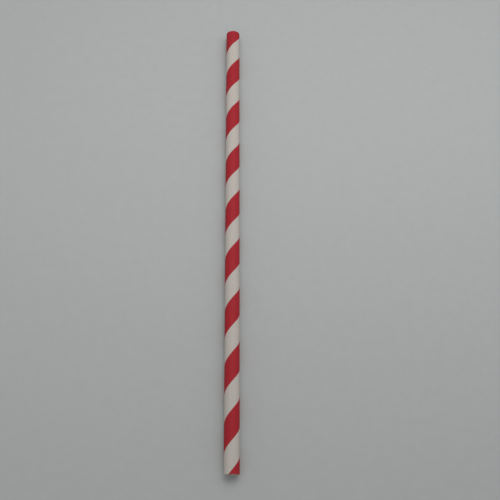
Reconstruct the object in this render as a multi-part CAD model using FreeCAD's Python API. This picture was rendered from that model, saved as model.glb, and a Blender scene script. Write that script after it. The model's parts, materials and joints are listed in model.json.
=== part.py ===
import FreeCAD, Part
import os

# Paper drinking straw, lying on its side along +Y.
# Its lowest line is on z = 0 and the middle of its length is on y = 0.
# Strips of paper are wound in a spiral and glued into one wall, so the straw is one solid.
# The strips of a ply meet edge to edge, so the wall is smooth inside and out.
# All sizes are in millimetres.

# The tube
length = 197.0
outer_diameter = 6.0

# The plies of the wall: a thin printed one outside, and thicker ones under it
outer_ply = 0.08
inner_ply = 0.16
inner_plies = 2

# Sizes that follow
outer_radius = outer_diameter / 2
wall = outer_ply + inner_ply * inner_plies
bore_radius = outer_radius - wall

# Where the straw's axis starts, at the near end, and the way it runs
near_end = FreeCAD.Vector(0, -length / 2, outer_radius)
along = FreeCAD.Vector(0, 1, 0)


def straw_tube():
    """The whole straw, a tube cut square at both ends."""
    outside = Part.makeCylinder(outer_radius, length, near_end, along)
    bore = Part.makeCylinder(bore_radius, length, near_end, along)
    return outside.cut(bore).Solids[0]


os.makedirs("parts", exist_ok=True)
straw_tube().exportStep("parts/straw_tube.step")
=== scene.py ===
import json
import math
from collections import namedtuple

import bmesh
import bpy
import numpy as np
from bpy.props import FloatProperty, FloatVectorProperty, PointerProperty
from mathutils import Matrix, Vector


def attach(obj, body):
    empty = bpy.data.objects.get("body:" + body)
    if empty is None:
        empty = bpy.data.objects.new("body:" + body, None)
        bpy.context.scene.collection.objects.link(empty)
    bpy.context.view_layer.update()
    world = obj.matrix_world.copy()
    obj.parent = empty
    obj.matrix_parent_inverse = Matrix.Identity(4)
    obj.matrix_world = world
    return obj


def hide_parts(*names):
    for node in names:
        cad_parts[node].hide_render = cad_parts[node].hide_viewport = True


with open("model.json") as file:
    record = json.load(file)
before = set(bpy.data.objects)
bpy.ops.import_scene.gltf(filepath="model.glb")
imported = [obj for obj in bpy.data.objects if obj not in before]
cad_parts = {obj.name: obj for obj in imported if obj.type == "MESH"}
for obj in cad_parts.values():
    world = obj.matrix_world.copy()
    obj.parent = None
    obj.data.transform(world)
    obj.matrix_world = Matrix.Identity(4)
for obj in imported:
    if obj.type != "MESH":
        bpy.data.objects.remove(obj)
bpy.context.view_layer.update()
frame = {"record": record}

# A striped paper drinking straw, wound from three plies of paper and lying on its side along +Y.
# All lengths are in metres. Distances across a strip of paper are square to its edges.

bl_info = {
    "name": "Paper drinking straw",
    "version": (1, 0, 0),
    "blender": (4, 5, 0),
    "location": "3D View > Sidebar > Straw",
    "description": "Winds a striped paper drinking straw and sets the stage around it",
    "category": "Add Mesh",
}

MM = 0.001
STRAW_NODE = "straw_tube"

# How finely the wall is wound, with spare turns past its ends that are cut off, how near to each other two
# corners are one, and the sharpest edge that is shaded smooth
STEPS_PER_TURN = 80
SPARE_TURNS = 2
PLAIN_ROW_SPACING = 0.75 * MM
SAME_PLACE = 0.004 * MM
CUT_THRESHOLD = SAME_PLACE / 10
SMOOTH_UP_TO = math.radians(38)

# A hairline between two edges of paper, from its middle outwards: how far off each row lies, as a share of
# the gap, and how deep it is, as a share of the depth
HAIRLINE = {"floor": (0.32, 1.0), "worn lip": (0.5, 0.2), "shoulder": (0.9, 0.04), "plain paper": (1.6, 0.0)}

# The valley over a hidden seam in the same way, but with how far off each row lies as a length
VALLEY = {"middle": (0.0, 1.0), "slope": (0.14 * MM, 0.6), "plain paper": (0.34 * MM, 0.0)}

# How far the cut ends are sunk, and how far the cut strays, as shares of the rims' wear
RIM_SINKS = 1.0
FIRST_GLUE_SINKS = 0.8
SECOND_GLUE_SINKS = 0.7
CUT_STRAYS = 1.2

# The size of the ripples in the wall, and of the tears in the cut
RIPPLE_SIZE = 7 * MM
TEAR_SIZE = 0.25 * MM

# The straw's materials in their order, and how far a face of a cut end may turn away from the straw's length
OUTSIDE, BORE, CUT_END = range(3)
END_FACE_TURN = math.radians(60)

# The map for baking: cells side by side, each with a margin round what it holds
BAKE_COLUMNS = 4
BAKE_MARGIN = 0.4 * MM


def mount_size(mount_name, size_name):
    """A size of one of the straw's mounts, in metres."""
    mounts = {mount["name"]: mount for mount in frame["record"]["mounts"]}
    return mounts[mount_name]["dims"][size_name] * MM


def length_property(name, description, default):
    """A property that holds a length in metres."""
    return FloatProperty(
        name=name, description=description, default=default, precision=6, subtype="DISTANCE", unit="LENGTH"
    )


def place_property(name, description, x, y, z):
    """A property that holds a place, whose default is given in metres."""
    return FloatVectorProperty(
        name=name, description=description, default=(x, y, z), precision=4, subtype="TRANSLATION", unit="LENGTH"
    )


def angle_property(name, description, degrees):
    """A property that holds an angle, whose default is given in degrees."""
    return FloatProperty(
        name=name, description=description, default=math.radians(degrees), subtype="ANGLE", unit="ROTATION"
    )


def share_property(name, description, default):
    """A property that holds a share from 0 to 1."""
    return FloatProperty(name=name, description=description, default=default, min=0, max=1, subtype="FACTOR")


def colour_property(name, description, red, green, blue):
    """A property that holds a colour, whose default is given as the eight-bit values of a screen."""
    return FloatVectorProperty(
        name=name, description=description, default=screen_colour(red, green, blue), min=0, max=1, subtype="COLOR"
    )


def screen_colour(*levels):
    """The linear colour of a screen's eight-bit levels."""
    shares = [level / 255 for level in levels]
    return tuple(s / 12.92 if s <= 0.04045 else ((s + 0.055) / 1.055) ** 2.4 for s in shares)


def opaque(colour):
    """A colour with an alpha of 1, as the sockets of nodes take it."""
    return (*colour, 1)


class StrawSizes(bpy.types.PropertyGroup):
    """The straw's real sizes. The tube's own come from the frame."""

    length: length_property("Length", "Length of the straw", mount_size("outside", "length_mm"))
    outer_radius: length_property("Outer radius", "Radius of the outside", mount_size("outside", "r_mm"))
    bore_radius: length_property("Bore radius", "Radius of the bore", mount_size("bore", "r_mm"))
    outer_ply: length_property("Outer ply", "Thickness of the printed ply", 0.08 * MM)
    inner_ply: length_property("Inner ply", "Thickness of each ply under it", 0.16 * MM)
    strip_width: length_property("Strip width", "Width of the strip that the outer ply is wound from", 14.27 * MM)
    seam_gap: length_property("Seam gap", "Hairline between the edges of the outer strip", 0.10 * MM)
    seam_depth: length_property("Seam depth", "Depth of that hairline", 0.06 * MM)
    seam_start: length_property("Seam start", "Where the seam first crosses the top, from the near end", 1.47 * MM)
    bore_seam_depth: length_property("Bore seam depth", "Depth of the hairline inside the bore", 0.10 * MM)
    ply_valley: length_property("Ply valley", "How far both sides sink at the middle ply's seam", 0.014 * MM)
    cut_wear: length_property("Cut wear", "How far the rims of the cut ends are worn back", 0.02 * MM)
    unevenness: length_property("Unevenness", "How far the wall strays from a true tube", 0.016 * MM)


class StrawPrint(bpy.types.PropertyGroup):
    """The print and the colours of the paper."""

    stripe_share: share_property("Stripe share", "Share of the strip's width that is printed", 0.52)
    edge_wobble: length_property("Edge wobble", "How far the edge of the print wanders", 0.05 * MM)
    ink: colour_property("Ink", "Colour of the printed stripe", 162, 39, 47)
    paper: colour_property("Paper", "Colour of the bare outer ply", 187, 180, 173)
    core: colour_property("Core", "Colour of the plies where they are cut", 196, 189, 176)
    bore_paper: colour_property("Bore paper", "Colour of the inner ply", 188, 183, 172)
    glue: colour_property("Glue", "Colour of the glue lines between the plies", 140, 126, 104)


class StageSettings(bpy.types.PropertyGroup):
    """The floor, the light and the camera."""

    floor_side: length_property("Floor side", "Side of the square floor", 16.0)
    floor: colour_property("Floor colour", "Colour of the floor", 172, 175, 174)
    backdrop: colour_property("Backdrop", "Colour that shows past the floor", 136, 139, 138)
    lamp_power: FloatProperty(name="Lamp power", description="Power of the soft lamp", default=0.21, unit="POWER")
    lamp_width: length_property("Lamp width", "Size of the soft lamp across the straw", 0.45)
    lamp_depth: length_property("Lamp depth", "Size of the soft lamp along the straw", 0.20)
    lamp_spread: angle_property("Lamp spread", "How wide the soft lamp shines", 120)
    lamp_place: place_property("Lamp place", "Middle of the soft lamp", 0.05, 0.09, 0.26)
    lamp_aim: place_property("Lamp aim", "Where the soft lamp points", 0, 0.075, 0)
    window_light: FloatProperty(name="Window light", description="Strength of the far, soft light", default=0.42)
    window_spread: angle_property("Window spread", "How wide the far light is, which softens its shadows", 30)
    window_place: place_property("Window place", "Where the far light hangs, aimed at the origin", 0.3, 0.8, 2.0)
    room_light: FloatProperty(name="Room light", description="Strength of the light from all sides", default=0.47)
    focal_length: FloatProperty(
        name="Focal length", description="Focal length of the camera", default=56.7, unit="CAMERA"
    )
    camera_place: place_property("Camera place", "Where the camera is held", 0.00662, -0.1295, 0.3047)
    look_tilt: angle_property("Look tilt", "How far the camera looks up from straight down", 21.8)
    look_turn: angle_property("Look turn", "How far the camera is turned to the left", -0.314)
    clip_start: length_property("Clip start", "How near to the camera a thing may be and still show", 10 * MM)


class Winding:
    """How the outer strip is wound round the tube, at an angle to the straw's girth."""

    def __init__(self, sizes):
        girth = math.tau * sizes.outer_radius
        self.pitch = sizes.strip_width + sizes.seam_gap
        self.angle = math.asin(self.pitch / girth)
        self.lead = girth * math.tan(self.angle)
        self.turn_length = girth / math.cos(self.angle)
        self.seam_at_top = sizes.seam_start - sizes.length / 2
        self.turns = math.ceil(sizes.length / self.lead) + SPARE_TURNS

    def along_axis(self, across):
        """The distance along the straw that goes with a distance across the strip."""
        return across / math.cos(self.angle)


def deselect_all():
    """Nothing is selected, so that the next operator acts on its own piece alone."""
    for thing in bpy.context.selected_objects:
        thing.select_set(False)


def edit(piece):
    """The piece alone is selected and opened for editing, by its corners."""
    deselect_all()
    piece.select_set(True)
    bpy.context.view_layer.objects.active = piece
    bpy.ops.object.mode_set(mode="EDIT")
    bpy.context.tool_settings.mesh_select_mode = (True, False, False)


def pick(test):
    """Of the mesh that is being edited, only the corners whose place passes the test are selected."""
    bpy.ops.mesh.select_all(action="DESELECT")
    piece = bpy.context.edit_object
    shape = bmesh.from_edit_mesh(piece.data)
    picked = 0
    for corner in shape.verts:
        corner.select = test(piece.matrix_world @ corner.co)
        picked += corner.select
    if not picked:
        raise RuntimeError("no corner was found where the straw's form has to change")
    shape.select_flush(True)
    bmesh.update_edit_mesh(piece.data)


def apply_modifier(piece, name, kind, **settings):
    """A modifier is added with these settings and applied."""
    modifier = piece.modifiers.new(name, kind)
    for setting, value in settings.items():
        setattr(modifier, setting, value)
    bpy.ops.object.modifier_apply(modifier=modifier.name)


def sunk_rows(middle, profile, depth, width=1.0):
    """How deep the paper is sunk at each row of a hairline or valley, by the row's place across the strip."""
    return {
        middle + side * width * off: share * depth
        for off, share in profile.values()
        for side in (-1, 1)
    }


def section_rows(sizes, winding):
    """Where the wall's form changes, as distances across the strip from the outer seam.

    Returns how far the outside and the bore are sunk at those rows, and every row, the plain ones included.
    The strips of the three plies are laid a third of their pitch apart.
    """
    middle_ply_seam = winding.pitch / 3
    inner_ply_seam = -winding.pitch / 3
    valley = sunk_rows(middle_ply_seam, VALLEY, sizes.ply_valley)
    outside = {**sunk_rows(0.0, HAIRLINE, sizes.seam_depth, sizes.seam_gap), **valley}
    bore = {**sunk_rows(inner_ply_seam, HAIRLINE, sizes.bore_seam_depth, sizes.seam_gap), **valley}
    formed = sorted({*outside, *bore, -winding.pitch / 2, winding.pitch / 2})
    rows = []
    for start, end in zip(formed, formed[1:]):
        parts = math.ceil((end - start) / PLAIN_ROW_SPACING)
        rows += [start + (end - start) * part / parts for part in range(parts)]
    return outside, bore, rows[1:]


def wall_section(sizes, winding):
    """A thin section of the wall, one lead long, standing on the axis over the straw's top line."""
    axis = Vector((0, 0, sizes.outer_radius))
    wall = sizes.outer_radius - sizes.bore_radius
    over_axis = sizes.bore_radius + wall / 2
    outside, bore, rows = section_rows(sizes, winding)
    middle = winding.seam_at_top - winding.lead
    deselect_all()
    bpy.ops.mesh.primitive_plane_add(size=1, calc_uvs=False, location=axis)
    section = bpy.context.object
    section.name = "paper_straw"
    edit(section)
    bpy.ops.mesh.select_all(action="SELECT")
    bpy.ops.transform.rotate(value=math.pi / 2, orient_axis="Y", center_override=axis)
    bpy.ops.transform.resize(value=(1, winding.lead, wall), center_override=axis)
    bpy.ops.transform.translate(value=(0, middle, over_axis))
    for row in rows:
        bpy.ops.mesh.select_all(action="SELECT")
        bpy.ops.mesh.bisect(
            plane_co=(0, middle + winding.along_axis(row), 0), plane_no=(0, 1, 0), threshold=CUT_THRESHOLD
        )
    bpy.ops.mesh.select_all(action="SELECT")
    bpy.ops.mesh.delete(type="ONLY_FACE")
    drop_cross_edges()
    inside_wall = axis.z + over_axis
    for sunk, is_outside in ((outside, True), (bore, False)):
        for row, depth in sunk.items():
            place = middle + winding.along_axis(row)
            if depth:
                pick(lambda p: abs(p.y - place) < SAME_PLACE and (p.z > inside_wall) == is_outside)
                bpy.ops.transform.translate(value=(0, 0, -depth if is_outside else depth))
    bpy.ops.object.mode_set(mode="OBJECT")
    return section


def drop_cross_edges():
    """Only the two lines along the wall are kept, the outside's and the bore's."""
    bpy.ops.mesh.select_all(action="DESELECT")
    bpy.context.tool_settings.mesh_select_mode = (False, True, False)
    shape = bmesh.from_edit_mesh(bpy.context.edit_object.data)
    for edge in shape.edges:
        start, end = edge.verts
        edge.select = abs(start.co.y - end.co.y) < SAME_PLACE
    bmesh.update_edit_mesh(bpy.context.edit_object.data)
    bpy.ops.mesh.delete(type="EDGE")
    bpy.context.tool_settings.mesh_select_mode = (True, False, False)


def wind(section, sizes, winding):
    """The section is swept round the axis and along it, joined edge to edge, and cut to length."""
    apply_modifier(
        section, "Winding", "SCREW", axis="Y", angle=math.tau, screw_offset=winding.lead, iterations=winding.turns,
        steps=STEPS_PER_TURN, render_steps=STEPS_PER_TURN, use_merge_vertices=False, use_smooth_shade=True
    )
    edit(section)
    bpy.ops.mesh.select_all(action="SELECT")
    bpy.ops.mesh.remove_doubles(threshold=SAME_PLACE)
    for end in (-1, 1):
        bpy.ops.mesh.select_all(action="SELECT")
        bpy.ops.mesh.bisect(
            plane_co=(0, end * sizes.length / 2, 0), plane_no=(0, end, 0), clear_outer=True, threshold=CUT_THRESHOLD
        )
    bpy.ops.object.mode_set(mode="OBJECT")


def close_ends(piece, sizes):
    """The cut ends are bridged between the outside and the bore, with rings half an outer ply apart."""
    wall = sizes.outer_radius - sizes.bore_radius
    ring_spacing = sizes.outer_ply / 2
    rings = round(wall / ring_spacing) - 1
    edit(piece)
    for end in (-1, 1):
        pick(lambda p: abs(p.y - end * sizes.length / 2) < SAME_PLACE)
        bpy.ops.mesh.bridge_edge_loops(number_cuts=rings, interpolation="LINEAR")
    bpy.ops.mesh.select_all(action="SELECT")
    bpy.ops.mesh.normals_make_consistent(inside=False)
    if not all(edge.is_manifold for edge in bmesh.from_edit_mesh(piece.data).edges):
        raise RuntimeError("the straw's wall isn't closed")
    bpy.ops.object.mode_set(mode="OBJECT")


def shape_ends(piece, sizes):
    """The glue lines between the plies are sunk into the cut ends, and the rims are worn back."""
    axis_height = sizes.outer_radius
    first_glue = sizes.outer_radius - sizes.outer_ply
    second_glue = first_glue - sizes.inner_ply
    sinks = {
        sizes.outer_radius: RIM_SINKS, first_glue: FIRST_GLUE_SINKS,
        second_glue: SECOND_GLUE_SINKS, sizes.bore_radius: RIM_SINKS,
    }
    same_ring = sizes.outer_ply / 5
    edit(piece)
    for end in (-1, 1):
        for radius, share in sinks.items():
            pick(
                lambda p: abs(p.y - end * sizes.length / 2) < SAME_PLACE
                and abs(math.hypot(p.x, p.z - axis_height) - radius) < same_ring
            )
            bpy.ops.transform.translate(value=(0, -end * share * sizes.cut_wear, 0))
    bpy.ops.object.mode_set(mode="OBJECT")


def at_cut_end(place, sizes):
    """Whether a place lies so near an end that it belongs to the worn cut."""
    return abs(place.y) > sizes.length / 2 - 2 * sizes.cut_wear


def displace(piece, name, size, **settings):
    """The piece's corners stray to and fro in a cloudy pattern of that size."""
    clouds = bpy.data.textures.new(name, "CLOUDS")
    clouds.noise_scale = size
    apply_modifier(piece, name, "DISPLACE", texture=clouds, texture_coords="LOCAL", mid_level=0.5, **settings)


def make_uneven(piece, sizes):
    """The wall strays a little from a true tube, and the knife's cut from a true plane."""
    displace(piece, "wall ripple", RIPPLE_SIZE, direction="NORMAL", strength=sizes.unevenness)
    edit(piece)
    pick(lambda p: at_cut_end(p, sizes))
    bpy.ops.object.vertex_group_assign_new()
    bpy.ops.object.mode_set(mode="OBJECT")
    cut = piece.vertex_groups.active.name
    displace(piece, "cut tear", TEAR_SIZE, direction="Y", strength=CUT_STRAYS * sizes.cut_wear, vertex_group=cut)
    bpy.ops.object.vertex_group_remove(all=True)
    bpy.ops.object.shade_smooth_by_angle(angle=SMOOTH_UP_TO)


def give_materials(piece, sizes, materials):
    """The outside, the bore and the cut ends each get their own material."""
    for material in materials:
        piece.data.materials.append(material)
    middle_radius = (sizes.outer_radius + sizes.bore_radius) / 2
    for face in piece.data.polygons:
        centre = face.center
        radius = math.hypot(centre.x, centre.z - sizes.outer_radius)
        if at_cut_end(centre, sizes) and abs(face.normal.y) > math.cos(END_FACE_TURN):
            face.material_index = CUT_END
        else:
            face.material_index = OUTSIDE if radius > middle_radius else BORE


def unrolled(places, winding):
    """Which turn of the strip a face lies on, and its corners with that turn laid flat.

    The corners are given from the straw's axis. They count as one turn, also where the angle jumps underneath.
    """
    x, y, z = places.T
    share = np.arctan2(x, z) / math.tau
    share += np.round(share[0] - share)
    leads = (y - winding.seam_at_top) / winding.lead
    along = share + math.floor((leads - share).mean())
    turn = math.floor(along.mean())
    return turn, np.stack(((along - turn) * winding.turn_length, (leads - along) * winding.pitch), 1)


def lay_out_for_baking(piece, sizes, winding):
    """A map without overlaps: a cell for each turn of the outside, then of the bore, and for each cut end."""
    mesh = piece.data
    first_turn = math.floor(-sizes.seam_start / winding.lead) - 1
    last_turn = math.floor((sizes.length - sizes.seam_start) / winding.lead)
    turns = last_turn - first_turn + 1
    cells = 2 * turns + 2
    cell = np.array((winding.turn_length, winding.pitch)) + BAKE_MARGIN
    side = max(BAKE_COLUMNS * cell[0], math.ceil(cells / BAKE_COLUMNS) * cell[1])
    corners = np.empty(len(mesh.vertices) * 3, np.float32)
    mesh.vertices.foreach_get("co", corners)
    corners = corners.reshape(-1, 3).astype(float) - (0, 0, sizes.outer_radius)
    bake_map = mesh.uv_layers.new(name="OFBake", do_init=False)
    for face in mesh.polygons:
        places = corners[[mesh.loops[i].vertex_index for i in face.loop_indices]]
        if face.material_index == CUT_END:
            slot = 2 * turns + (places[:, 1].mean() > 0)
            flat = places[:, (0, 2)] + winding.pitch / 2
        else:
            turn, flat = unrolled(places, winding)
            slot = turn - first_turn + turns * face.material_index
        start = np.array((slot % BAKE_COLUMNS, slot // BAKE_COLUMNS)) * cell + BAKE_MARGIN / 2
        for index, place in zip(face.loop_indices, (flat + start) / side):
            bake_map.data[index].uv = place


# What a material's nodes are made with: how far apart they are set out, the kinds of a group's sockets, and
# the sockets of a Mix node for colours, which share their names with its other sockets
NODE_SPACING = (220, -180)
VALUE, VECTOR = "NodeSocketFloat", "NodeSocketVector"
MIX_FIRST, MIX_SECOND, MIX_RESULT = 6, 7, 2

# Uncoated paper mirrors less than a polished surface does
PAPER_SPECULAR = 0.12

# How the paper looks close up on each finish: the length and width of its fibres, how far its tone swings,
# its roughness, how much the tone adds to that, and the height and strength of its relief
Surface = namedtuple("Surface", "fibres swing roughness tone_roughness relief strength")
PRINTED_PLY = Surface(
    fibres=(0.9 * MM, 0.09 * MM), swing=0.08, roughness=0.64, tone_roughness=0.08, relief=0.018 * MM, strength=0.9
)
BARE_PLY = Surface(
    fibres=(1.1 * MM, 0.12 * MM), swing=0.05, roughness=0.72, tone_roughness=0.1, relief=0.02 * MM, strength=0.8
)
CUT_PLIES = Surface(
    fibres=(0.12 * MM, 0.05 * MM), swing=0.12, roughness=0.8, tone_roughness=0.1, relief=0.03 * MM, strength=0.9
)

# How fine the patterns are, in spots to the metre
FELT_FINENESS = 7500.0
CLOUDS_FINENESS = 900.0
EDGE_FINENESS = 1400.0
BOARD_FINENESS = 260.0

# The part of a pattern's values over which a tone goes from its darkest to its lightest
PAPER_TONES = (0.25, 0.75)
BOARD_TONES = (0.3, 0.7)

# The ink: how far it fades out to each side of its edge, how far its tone swings, the heights of the fibres
# between which it thins and what is left there, and what it takes from the roughness and from the relief
INK_FADE = 0.012 * MM
INK_SWING = 0.13
INK_THINS = (0.60, 0.72)
THIN_INK = 0.82
INK_SMOOTHS = 0.12
INK_FILLS = 0.35
INK_LAYER = 0.25

# How deep down the paper starts to look raw, and looks all raw
RAW_DEPTHS = (0.025 * MM, 0.045 * MM)

# A glue line: how far it wanders, where it starts to fade out and ends, and how strongly it shows
GLUE_WANDERS = 0.01 * MM
GLUE_WIDTHS = (0.006 * MM, 0.022 * MM)
GLUE_SHOWS = 0.55

# The ink at the rim of a cut: where it starts to fade out and ends, and how strongly it shows
RIM_INK_DEPTHS = (0.008 * MM, 0.030 * MM)
RIM_INK_SHOWS = 0.85

# The board underneath
BOARD_ROUGHNESS = 0.75
BOARD_SWING = 0.015
BOARD_RELIEF = 0.02 * MM
BOARD_RELIEF_STRENGTH = 0.3


def emptied(owner):
    """The node tree of a material or a world, with nothing in it."""
    owner.use_nodes = True
    owner.node_tree.nodes.clear()
    return owner.node_tree


class Tree:
    """A tree of shader nodes, set out in columns from left to right."""

    def __init__(self, nodes_of):
        self.tree = nodes_of

    def add(self, kind, column, row, name, values=None, **settings):
        """A node at that column and row, with these settings, its sockets fed by values or by other sockets."""
        node = self.tree.nodes.new(kind)
        node.name = node.label = name
        node.location = (NODE_SPACING[0] * column, NODE_SPACING[1] * row)
        for setting, value in settings.items():
            setattr(node, setting, value)
        for socket, value in (values or {}).items():
            self.feed(node.inputs[socket], value)
        return node

    def feed(self, socket, value):
        """The socket takes a value, or is linked to another node's output."""
        if isinstance(value, bpy.types.NodeSocket):
            self.tree.links.new(value, socket)
        else:
            socket.default_value = value

    def maths(self, operation, column, row, name, *values):
        """The result of a Math node on one, two or three values."""
        node = self.add("ShaderNodeMath", column, row, name, dict(enumerate(values)), operation=operation)
        return node.outputs[0]

    def mix(self, column, row, name, share, first, second, blend="MIX"):
        """The colour between two colours."""
        node = self.add("ShaderNodeMix", column, row, name, data_type="RGBA", blend_type=blend)
        self.feed(node.inputs["Factor"], share)
        self.feed(node.inputs[MIX_FIRST], first)
        self.feed(node.inputs[MIX_SECOND], second)
        return node.outputs[MIX_RESULT]

    def stretch(self, column, row, name, value, low, high, new_low=0.0, new_high=1.0):
        """A value, taken smoothly from one range to another and kept inside it."""
        node = self.add(
            "ShaderNodeMapRange", column, row, name,
            {"Value": value, "From Min": low, "From Max": high, "To Min": new_low, "To Max": new_high},
            interpolation_type="SMOOTHSTEP"
        )
        return node.outputs["Result"]

    def noise(self, column, row, name, place, fineness, detail, roughness, distortion=0.0):
        """The value of a cloudy pattern at a place."""
        node = self.add(
            "ShaderNodeTexNoise", column, row, name,
            {
                "Vector": place, "Scale": fineness, "Detail": detail,
                "Roughness": roughness, "Distortion": distortion,
            }
        )
        return node.outputs["Fac"]

    def toned(self, column, row, name, colour, tone, tones, swing):
        """The colour, darker and lighter by up to the swing as the tone goes through its range."""
        level = self.stretch(column, row + 1, name + " level", tone, *tones, 1 - swing, 1 + swing)
        grey = self.add("ShaderNodeCombineColor", column + 1, row + 1, name + " grey", {0: level, 1: level, 2: level})
        return self.mix(column + 2, row, name, 1.0, opaque(colour), grey.outputs[0], blend="MULTIPLY")

    def relief(self, column, row, height, distance, strength):
        """The surface's normal, as the height turns it."""
        node = self.add(
            "ShaderNodeBump", column, row, "Relief", {"Height": height, "Distance": distance, "Strength": strength}
        )
        return node.outputs[0]


def new_group(name, inputs, outputs):
    """An empty node group whose sockets are given as their names and kinds, its tree and what it is given."""
    group = bpy.data.node_groups.new(name, "ShaderNodeTree")
    for in_out, sockets in (("INPUT", inputs), ("OUTPUT", outputs)):
        for socket_name, kind in sockets.items():
            group.interface.new_socket(socket_name, in_out=in_out, socket_type=kind)
    tree = Tree(group)
    return group, tree, tree.add("NodeGroupInput", -1, 0, "In").outputs


def strip_group():
    """Where a point lies on the wound strip: along it, across it and how deep under the straw's outside.

    The straw lies on the floor, so its axis is one outer radius up.
    """
    group, tree, given = new_group(
        "Wound strip",
        {
            "Place": VECTOR, "Outer Radius": VALUE, "Lead": VALUE,
            "Seam": VALUE, "Turn Length": VALUE, "Pitch": VALUE,
        },
        {"Across": VALUE, "Strip": VECTOR, "Depth": VALUE},
    )
    place = tree.add("ShaderNodeSeparateXYZ", 0, 0, "Place", {0: given["Place"]}).outputs
    height = tree.maths("SUBTRACT", 1, 1, "Over the axis", place["Z"], given["Outer Radius"])
    angle = tree.maths("ARCTAN2", 2, 0, "Angle round the axis", place["X"], height)
    share = tree.maths("DIVIDE", 3, 0, "Share of a turn", angle, math.tau)
    from_seam = tree.maths("SUBTRACT", 1, 2, "From the seam at the top", place["Y"], given["Seam"])
    leads = tree.maths("DIVIDE", 2, 2, "Leads from the seam", from_seam, given["Lead"])
    wound = tree.maths("SUBTRACT", 4, 1, "Turns from the seam", leads, share)
    turn = tree.maths("FLOOR", 5, 0, "Whole turns", wound)
    across = tree.maths("SUBTRACT", 6, 1, "Share across the strip", wound, turn)
    turned = tree.maths("ADD", 6, 0, "Turns along the strip", share, turn)
    along = tree.maths("MULTIPLY", 7, 0, "Along the strip", turned, given["Turn Length"])
    over = tree.maths("MULTIPLY", 7, 1, "Across the strip", across, given["Pitch"])
    strip = tree.add("ShaderNodeCombineXYZ", 8, 0, "Place on the strip", {"X": along, "Y": over})
    flat = tree.add("ShaderNodeCombineXYZ", 2, 3, "Square to the axis", {"X": place["X"], "Y": height})
    radius = tree.add("ShaderNodeVectorMath", 3, 3, "Radius", {0: flat.outputs[0]}, operation="LENGTH")
    depth = tree.maths("SUBTRACT", 4, 3, "Depth", given["Outer Radius"], radius.outputs["Value"])
    tree.add("NodeGroupOutput", 9, 0, "Out", {"Across": across, "Strip": strip.outputs[0], "Depth": depth})
    return group


def fibre_group():
    """The felted fibres of the paper: their height, and how much the paper's tone wanders."""
    group, tree, given = new_group(
        "Paper fibres", {"Place": VECTOR, "Length": VALUE, "Width": VALUE}, {"Height": VALUE, "Tone": VALUE}
    )
    per_length = tree.maths("DIVIDE", 0, 1, "Fibres to the metre", 1.0, given["Length"])
    per_width = tree.maths("DIVIDE", 0, 2, "Fibres side by side", 1.0, given["Width"])
    grain = tree.add("ShaderNodeCombineXYZ", 1, 1, "Grain", {"X": per_length, "Y": per_width, "Z": per_width})
    lengthwise = tree.add(
        "ShaderNodeVectorMath", 2, 0, "Lengthwise", {0: given["Place"], 1: grain.outputs[0]}, operation="MULTIPLY"
    )
    fibres = tree.noise(
        3, 0, "Long fibres", lengthwise.outputs[0], fineness=1.0, detail=3.0, roughness=0.6, distortion=0.8
    )
    felt = tree.noise(
        3, 1, "Felt", given["Place"], fineness=FELT_FINENESS, detail=3.0, roughness=0.6, distortion=0.3
    )
    clouds = tree.noise(
        3, 2, "Clouds in the sheet", given["Place"], fineness=CLOUDS_FINENESS, detail=4.0, roughness=0.6
    )
    both = tree.maths("ADD", 4, 0, "Fibres together", fibres, felt)
    height = tree.maths("MULTIPLY", 5, 0, "Height", both, 0.5)
    of_fibres = tree.maths("MULTIPLY", 4, 1, "Half from the fibres", height, 0.5)
    tone = tree.maths("MULTIPLY_ADD", 5, 1, "Tone", clouds, 0.5, of_fibres)
    tree.add("NodeGroupOutput", 6, 0, "Out", {"Height": height, "Tone": tone})
    return group


def stripe_group():
    """Where the stripe is printed: from a share across the strip up to its far edge, with a slightly ragged edge."""
    group, tree, given = new_group(
        "Printed stripe",
        {"Strip": VECTOR, "Across": VALUE, "Pitch": VALUE, "Share": VALUE, "Wobble": VALUE},
        {"Ink": VALUE},
    )
    wander = tree.noise(0, 0, "Wander", given["Strip"], fineness=EDGE_FINENESS, detail=4.0, roughness=0.65)
    off = tree.maths("SUBTRACT", 1, 0, "Off the line", wander, 0.5)
    strayed = tree.maths("MULTIPLY", 2, 0, "Strayed", off, given["Wobble"])
    edge = tree.maths("SUBTRACT", 1, 1, "Edge of the stripe", 1.0, given["Share"])
    past_share = tree.maths("SUBTRACT", 2, 1, "Past the edge", given["Across"], edge)
    past = tree.maths("MULTIPLY_ADD", 3, 0, "Past the ragged edge", past_share, given["Pitch"], strayed)
    ink = tree.stretch(4, 0, "Ink", past, -INK_FADE, INK_FADE)
    tree.add("NodeGroupOutput", 5, 0, "Out", {"Ink": ink})
    return group


class StrawPaper:
    """What all finishes of the straw share: its sizes, its print, its winding and the node groups."""

    def __init__(self, sizes, look, winding):
        self.sizes = sizes
        self.look = look
        self.winding = winding
        self.strip = strip_group()
        self.fibres = fibre_group()
        self.stripe = stripe_group()


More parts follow.
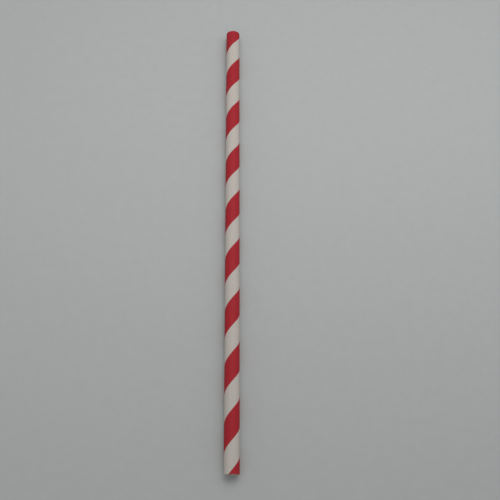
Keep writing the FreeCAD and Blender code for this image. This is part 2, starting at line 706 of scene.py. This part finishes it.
class Finish(Tree):
    """One finish of the straw: its material and shader, the place on the wound strip, and the fibres there."""

    def __init__(self, name, paper, surface, fibres_on_strip=True):
        self.material = bpy.data.materials.new(name)
        super().__init__(emptied(self.material))
        self.paper = paper
        self.surface = surface
        place = self.add("ShaderNodeTexCoord", -3, 0, "Place").outputs["Object"]
        self.wound = self.add(
            "ShaderNodeGroup", -2, 0, "Wound strip",
            {
                "Place": place,
                "Outer Radius": paper.sizes.outer_radius,
                "Lead": paper.winding.lead,
                "Seam": paper.winding.seam_at_top,
                "Turn Length": paper.winding.turn_length,
                "Pitch": paper.winding.pitch,
            },
            node_tree=paper.strip
        ).outputs
        length, width = surface.fibres
        self.fibre = self.add(
            "ShaderNodeGroup", -1, 1, "Paper fibres",
            {"Place": self.wound["Strip"] if fibres_on_strip else place, "Length": length, "Width": width},
            node_tree=paper.fibres
        ).outputs
        self.shader = self.add("ShaderNodeBsdfPrincipled", 5, 0, "Paper", {"Specular IOR Level": PAPER_SPECULAR})
        self.add("ShaderNodeOutputMaterial", 7, 0, "Out", {"Surface": self.shader.outputs[0]})

    def ink(self):
        """How much ink there is at each place."""
        look = self.paper.look
        node = self.add(
            "ShaderNodeGroup", -1, 2, "Printed stripe",
            {
                "Strip": self.wound["Strip"],
                "Across": self.wound["Across"],
                "Pitch": self.paper.winding.pitch,
                "Share": look.stripe_share,
                "Wobble": look.edge_wobble,
            },
            node_tree=self.paper.stripe
        )
        return node.outputs["Ink"]

    def paper_toned(self, row, name, colour, swing):
        """The colour, darker and lighter as the paper's tone wanders."""
        return self.toned(0, row, name, colour, self.fibre["Tone"], PAPER_TONES, swing)

    def finish(self, colour, roughness, height):
        """The shader takes its colour, its roughness and its relief. Returns the finished material."""
        rough = self.maths(
            "MULTIPLY_ADD", 3, 8, "Roughness", self.fibre["Tone"], self.surface.tone_roughness, roughness
        )
        relief = self.relief(4, 3, height, self.surface.relief, self.surface.strength)
        self.feed(self.shader.inputs["Base Color"], colour)
        self.feed(self.shader.inputs["Roughness"], rough)
        self.feed(self.shader.inputs["Normal"], relief)
        return self.material


def printed_ply(paper):
    """The outer ply: bare paper and a band of ink, with raw paper down in the seam."""
    tree = Finish("printed outer ply", paper, PRINTED_PLY)
    ink = tree.ink()
    thin = tree.stretch(0, 3, "Thin ink", tree.fibre["Height"], *INK_THINS, 1.0, THIN_INK)
    covered = tree.maths("MULTIPLY", 1, 3, "Covered", ink, thin)
    bare = tree.paper_toned(0, "Paper tone", paper.look.paper, PRINTED_PLY.swing)
    inked = tree.paper_toned(5, "Ink tone", paper.look.ink, INK_SWING)
    surface = tree.mix(3, 1, "Print on paper", covered, bare, inked)
    raw = tree.stretch(1, 7, "Under the surface", tree.wound["Depth"], *RAW_DEPTHS)
    colour = tree.mix(4, 1, "Raw in the seam", raw, surface, opaque(paper.look.core))
    smooth = tree.maths("MULTIPLY_ADD", 2, 8, "Smoother ink", ink, -INK_SMOOTHS, PRINTED_PLY.roughness)
    filled = tree.maths("MULTIPLY_ADD", 2, 9, "Ink fills the fibres", ink, -INK_FILLS, 1.0)
    fibres = tree.maths("MULTIPLY", 3, 9, "Fibre relief", tree.fibre["Height"], filled)
    layer = tree.maths("MULTIPLY_ADD", 4, 9, "With the ink's own layer", ink, INK_LAYER, fibres)
    return tree.finish(colour, smooth, layer)


def bare_ply(paper):
    """The inner ply, unprinted and a little coarser."""
    tree = Finish("bare inner ply", paper, BARE_PLY)
    colour = tree.paper_toned(0, "Paper tone", paper.look.bore_paper, BARE_PLY.swing)
    return tree.finish(colour, BARE_PLY.roughness, tree.fibre["Height"])


def cut_plies(paper):
    """The cut ends: the three plies, the glue lines between them, and a trace of ink at the rim."""
    tree = Finish("cut plies", paper, CUT_PLIES, fibres_on_strip=False)
    sizes, look = paper.sizes, paper.look
    ink = tree.ink()
    core = tree.paper_toned(0, "Cut tone", look.core, CUT_PLIES.swing)
    stray = tree.maths("MULTIPLY_ADD", 0, 4, "Glue wanders", tree.fibre["Tone"], 2 * GLUE_WANDERS, -GLUE_WANDERS)
    depth = tree.maths("ADD", 1, 4, "Depth in the wall", tree.wound["Depth"], stray)
    glue = []
    for row, glue_depth in enumerate((sizes.outer_ply, sizes.outer_ply + sizes.inner_ply), start=5):
        off = tree.maths("SUBTRACT", 2, row, "From the glue", depth, glue_depth)
        away = tree.maths("ABSOLUTE", 3, row, "Away from the glue", off)
        glue.append(tree.stretch(4, row, "Glue line", away, *GLUE_WIDTHS, GLUE_SHOWS, 0.0))
    lines = tree.maths("MAXIMUM", 5, 5, "Glue lines", *glue)
    glued = tree.mix(5, 2, "Glue between plies", lines, core, opaque(look.glue))
    rim = tree.stretch(2, 7, "Rim", tree.wound["Depth"], *RIM_INK_DEPTHS, RIM_INK_SHOWS, 0.0)
    smear = tree.maths("MULTIPLY", 3, 7, "Ink at the rim", rim, ink)
    colour = tree.mix(6, 2, "With ink at the rim", smear, glued, opaque(look.ink))
    return tree.finish(colour, CUT_PLIES.roughness, tree.fibre["Height"])


def floor_material(stage):
    """A plain pale board with the faintest grain."""
    material = bpy.data.materials.new("pale board")
    tree = Tree(emptied(material))
    place = tree.add("ShaderNodeTexCoord", -2, 0, "Place").outputs["Object"]
    grain = tree.noise(-1, 0, "Grain", place, fineness=BOARD_FINENESS, detail=4.0, roughness=0.6)
    colour = tree.toned(0, 0, "Board tone", stage.floor, grain, BOARD_TONES, BOARD_SWING)
    relief = tree.relief(2, 1, grain, BOARD_RELIEF, BOARD_RELIEF_STRENGTH)
    shader = tree.add(
        "ShaderNodeBsdfPrincipled", 3, 0, "Board",
        {"Base Color": colour, "Roughness": BOARD_ROUGHNESS, "Normal": relief}
    )
    tree.add("ShaderNodeOutputMaterial", 4, 0, "Out", {"Surface": shader.outputs[0]})
    return material


def room(stage):
    """Even light from all sides, and the backdrop's colour where the camera looks past the floor."""
    world = bpy.data.worlds.new("room")
    tree = Tree(emptied(world))
    path = tree.add("ShaderNodeLightPath", 0, 0, "Ray").outputs
    seen = tree.maths("MAXIMUM", 1, 0, "Seen or mirrored", path["Is Camera Ray"], path["Is Glossy Ray"])
    shown = tree.maths("MAXIMUM", 2, 0, "Shown", seen, path["Is Transmission Ray"])
    white = opaque((1, 1, 1))
    light = tree.add("ShaderNodeBackground", 1, 1, "Light", {"Color": white, "Strength": stage.room_light})
    backdrop = tree.add("ShaderNodeBackground", 1, 2, "Backdrop", {"Color": opaque(stage.backdrop), "Strength": 1.0})
    both = tree.add("ShaderNodeMixShader", 3, 0, "Room", {0: shown, 1: light.outputs[0], 2: backdrop.outputs[0]})
    tree.add("ShaderNodeOutputWorld", 4, 0, "Out", {"Surface": both.outputs[0]})
    return world


def hang_light(kind, name, strength, place, aim):
    """A light of that kind at that place, pointing at its aim, with its width level along X."""
    back = Vector(place) - Vector(aim)
    turn = (-math.asin(back.y / back.length), math.atan2(back.x, back.z), 0)
    bpy.ops.object.light_add(type=kind, location=place, rotation=turn)
    light = bpy.context.object
    light.name = name
    light.data.energy = strength
    return light


class STRAW_OT_wind(bpy.types.Operator):
    """Winds the straw from its section, cuts it to length and gives it its print"""

    bl_idname = "straw.wind"
    bl_label = "Wind the straw"

    def execute(self, context):
        sizes, look = context.scene.straw_sizes, context.scene.straw_print
        winding = Winding(sizes)
        straw = wall_section(sizes, winding)
        wind(straw, sizes, winding)
        close_ends(straw, sizes)
        shape_ends(straw, sizes)
        make_uneven(straw, sizes)
        bpy.ops.object.transform_apply(location=True, rotation=True, scale=True)
        paper = StrawPaper(sizes, look, winding)
        give_materials(straw, sizes, (printed_ply(paper), bare_ply(paper), cut_plies(paper)))
        lay_out_for_baking(straw, sizes, winding)
        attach(straw, "root")
        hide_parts(STRAW_NODE)
        return {"FINISHED"}


class STRAW_OT_set_stage(bpy.types.Operator):
    """Lays the floor, hangs the two lights, lights the room and sets the camera"""

    bl_idname = "straw.set_stage"
    bl_label = "Set the stage"

    def execute(self, context):
        stage = context.scene.straw_stage
        deselect_all()
        bpy.ops.mesh.primitive_plane_add(size=stage.floor_side, location=(0, 0, 0))
        floor = bpy.context.object
        floor.name = "floor"
        floor.data.materials.append(floor_material(stage))
        context.scene.world = room(stage)
        lamp = hang_light("AREA", "soft lamp", stage.lamp_power, stage.lamp_place, stage.lamp_aim)
        lamp.data.shape = "RECTANGLE"
        lamp.data.size, lamp.data.size_y = stage.lamp_width, stage.lamp_depth
        lamp.data.spread = stage.lamp_spread
        window = hang_light("SUN", "window", stage.window_light, stage.window_place, (0, 0, 0))
        window.data.angle = stage.window_spread
        bpy.ops.object.camera_add(location=stage.camera_place, rotation=(stage.look_tilt, 0, stage.look_turn))
        camera = bpy.context.object
        camera.name = "camera"
        camera.data.lens = stage.focal_length
        camera.data.clip_start = stage.clip_start
        context.scene.camera = camera
        context.scene.view_settings.view_transform = "Standard"
        return {"FINISHED"}


class VIEW3D_PT_straw(bpy.types.Panel):
    """The straw's sizes, its print and its stage"""

    bl_idname = "VIEW3D_PT_straw"
    bl_label = "Paper drinking straw"
    bl_space_type = "VIEW_3D"
    bl_region_type = "UI"
    bl_category = "Straw"

    def draw(self, context):
        groups = (
            (context.scene.straw_sizes, None),
            (context.scene.straw_print, STRAW_OT_wind),
            (context.scene.straw_stage, STRAW_OT_set_stage),
        )
        for group, operator in groups:
            column = self.layout.column(align=True)
            for name in group.__annotations__:
                column.prop(group, name)
            if operator:
                self.layout.operator(operator.bl_idname)


CLASSES = (StrawSizes, StrawPrint, StageSettings, STRAW_OT_wind, STRAW_OT_set_stage, VIEW3D_PT_straw)


def register():
    for made in CLASSES:
        bpy.utils.register_class(made)
    bpy.types.Scene.straw_sizes = PointerProperty(type=StrawSizes)
    bpy.types.Scene.straw_print = PointerProperty(type=StrawPrint)
    bpy.types.Scene.straw_stage = PointerProperty(type=StageSettings)


def unregister():
    del bpy.types.Scene.straw_stage
    del bpy.types.Scene.straw_print
    del bpy.types.Scene.straw_sizes
    for made in reversed(CLASSES):
        bpy.utils.unregister_class(made)


def main():
    register()
    bpy.ops.straw.wind()
    bpy.ops.straw.set_stage()


if __name__ == "__main__":
    main()
